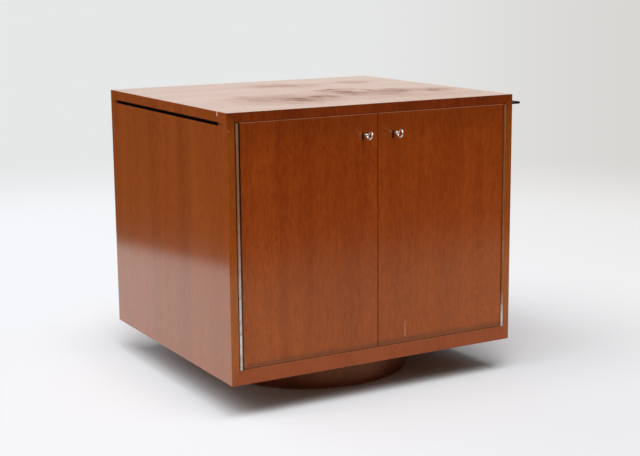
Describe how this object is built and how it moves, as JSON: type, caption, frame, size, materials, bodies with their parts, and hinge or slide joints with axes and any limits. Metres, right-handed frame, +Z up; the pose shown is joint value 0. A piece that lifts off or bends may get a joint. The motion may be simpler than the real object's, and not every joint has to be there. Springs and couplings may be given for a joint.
{
  "type": "revolving cellarette",
  "caption": "Veneered bar cabinet on a round revolving plinth, with hinged locking doors, bottle rack, shelf and a serving leaf that slides out at either side.",
  "frame": {"origin": "on the floor under the middle of the round plinth", "axes": "+X to the cabinet's right as one faces the doors, +Y towards its back, +Z up; the doors face -Y"},
  "size_m": [0.8105, 0.7116, 0.68],
  "materials": {
    "case_veneer": "satin polished reddish veneer",
    "door_veneer": "satin polished reddish veneer with fine vertical pores",
    "plinth_veneer": "satin polished dark veneer",
    "inside_wood": "plain varnished",
    "black_leaf": "black laminate, semi-gloss",
    "hinge_metal": "dulled nickel plate",
    "screw_steel": "zinc plated",
    "swivel_steel": "oiled steel",
    "lock_steel": "dull steel",
    "aged_brass": "aged brass",
    "key_nickel": "nickel plated"
  },
  "bodies": {
    "plinth": {"plinth_base": "inside_wood", "plinth_wall": "plinth_veneer", "plinth_top": "inside_wood", "plinth_blocks": "inside_wood", "pivot_pin": "swivel_steel", "swivel_lower_race": "swivel_steel", "swivel_lower_screws": "screw_steel"},
    "ball_cage": {"swivel_cage": "swivel_steel", "swivel_balls": "swivel_steel"},
    "cabinet": {"case_top": "case_veneer", "case_bottom": "case_veneer", "left_side": "case_veneer", "right_side": "case_veneer", "back_panel": "inside_wood", "left_back_screws": "screw_steel", "right_back_screws": "screw_steel", "centre_partition": "inside_wood", "leaf_bed": "inside_wood", "front_leaf_guide": "inside_wood", "back_leaf_guide": "inside_wood", "swivel_upper_race": "swivel_steel", "swivel_upper_screws": "screw_steel", "pivot_bush": "aged_brass", "bottle_rack": "inside_wood", "left_rack_cleat": "inside_wood", "right_rack_cleat": "inside_wood", "tumbler_shelf": "inside_wood", "shelf_pins": "screw_steel", "left_hinge_case_leaf": "hinge_metal", "left_hinge_pin": "hinge_metal", "left_hinge_case_screws": "screw_steel", "left_strike_plate": "lock_steel", "left_strike_screws": "screw_steel", "right_hinge_case_leaf": "hinge_metal", "right_hinge_pin": "hinge_metal", "right_hinge_case_screws": "screw_steel", "right_strike_plate": "lock_steel", "right_strike_screws": "screw_steel"},
    "leaf": {"serving_leaf": "black_leaf", "left_leaf_lip": "black_leaf", "right_leaf_lip": "black_leaf", "leaf_stop_peg": "screw_steel"},
    "left_door_panel": {"left_door": "door_veneer", "left_hinge_door_leaf": "hinge_metal", "left_hinge_door_screws": "screw_steel", "left_keyhole_liner": "aged_brass", "left_lock_case": "lock_steel", "left_lock_screws": "screw_steel", "left_lock_post": "lock_steel"},
    "right_door_panel": {"right_door": "door_veneer", "right_hinge_door_leaf": "hinge_metal", "right_hinge_door_screws": "screw_steel", "right_keyhole_liner": "aged_brass", "right_lock_case": "lock_steel", "right_lock_screws": "screw_steel", "right_lock_post": "lock_steel"},
    "left_lock_key": {"left_key": "key_nickel"},
    "right_lock_key": {"right_key": "key_nickel"},
    "left_lock_bolt": {"left_bolt": "lock_steel"},
    "right_lock_bolt": {"right_bolt": "lock_steel"}
  },
  "joints": [
    {"name": "swivel", "type": "hinge", "parent": "plinth", "child": "cabinet", "pos_m": [0, 0, 0.0755], "axis": [0, 0, 1], "continuous": true},
    {"name": "cage_spin", "type": "hinge", "parent": "plinth", "child": "ball_cage", "pos_m": [0, 0, 0.0755], "axis": [0, 0, 1], "continuous": true},
    {"name": "leaf_slide", "type": "slide", "parent": "cabinet", "child": "leaf", "axis": [1, 0, 0], "range_m": [-0.3715, 0.3085]},
    {"name": "left_door_hinge", "type": "hinge", "parent": "cabinet", "child": "left_door_panel", "pos_m": [-0.3537, -0.3365, 0.386], "axis": [0, 0, -1], "range_deg": [0, 175]},
    {"name": "right_door_hinge", "type": "hinge", "parent": "cabinet", "child": "right_door_panel", "pos_m": [0.3537, -0.3365, 0.386], "axis": [0, 0, 1], "range_deg": [0, 175]},
    {"name": "left_key_turn", "type": "hinge", "parent": "left_door_panel", "child": "left_lock_key", "pos_m": [-0.04, -0.335, 0.612], "axis": [0, 1, 0], "range_deg": [-23, 337]},
    {"name": "right_key_turn", "type": "hinge", "parent": "right_door_panel", "child": "right_lock_key", "pos_m": [0.04, -0.335, 0.612], "axis": [0, 1, 0], "range_deg": [-375, 0]},
    {"name": "left_bolt_slide", "type": "slide", "parent": "left_door_panel", "child": "left_lock_bolt", "axis": [1, 0, 0], "range_m": [-0.0007, 0.0091]},
    {"name": "right_bolt_slide", "type": "slide", "parent": "right_door_panel", "child": "right_lock_bolt", "axis": [-1, 0, 0], "range_m": [0, 0.0091]}
  ],
  "couplings": [
    {"joint": "cage_spin", "follows": "swivel", "ratio": 0.5},
    {"joint": "left_bolt_slide", "follows": "left_key_turn", "m_per_rad": 0.00153},
    {"joint": "right_bolt_slide", "follows": "right_key_turn", "m_per_rad": -0.001375}
  ]
}
